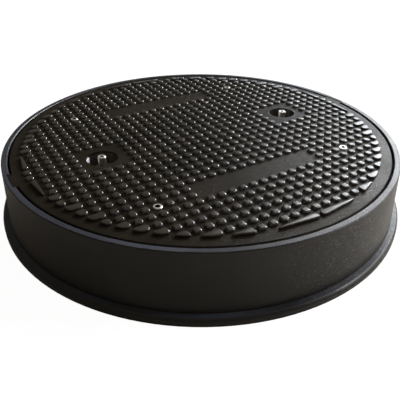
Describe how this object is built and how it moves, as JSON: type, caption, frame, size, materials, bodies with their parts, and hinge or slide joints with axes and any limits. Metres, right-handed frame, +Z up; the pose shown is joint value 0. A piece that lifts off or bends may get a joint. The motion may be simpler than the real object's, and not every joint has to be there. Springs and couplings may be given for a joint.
{
  "type": "cable pit cover",
  "caption": "Round composite access cover for a cable pit: a studded lid with recessed lifting sockets, resting in a flanged ring frame.",
  "frame": {"origin": "centre of the frame's underside, at the bottom of the part", "axes": "+Z up out of the tread; +X runs through the two lifting sockets"},
  "size_m": [0.694, 0.694, 0.108],
  "materials": {
    "frame_composite": "satin moulded black composite",
    "lid_composite": "satin moulded black composite with a studded tread",
    "gasket_rubber": "matt rubber",
    "cup_steel": "smooth darkened steel cup",
    "stainless": "stainless steel"
  },
  "bodies": {
    "root": {"frame": "frame_composite", "seat_gasket": "gasket_rubber", "lid": "lid_composite", "key_cup_1": "cup_steel", "key_post_1": "stainless", "key_washer_1": "stainless", "key_nut_1": "stainless", "key_cup_2": "cup_steel", "key_post_2": "stainless", "key_washer_2": "stainless", "key_nut_2": "stainless", "lid_screw_1": "stainless", "lid_washer_1": "stainless", "lid_nut_1": "stainless", "lid_screw_2": "stainless", "lid_washer_2": "stainless", "lid_nut_2": "stainless", "lid_screw_3": "stainless", "lid_washer_3": "stainless", "lid_nut_3": "stainless", "lid_screw_4": "stainless", "lid_washer_4": "stainless", "lid_nut_4": "stainless"}
  },
  "joints": []
}
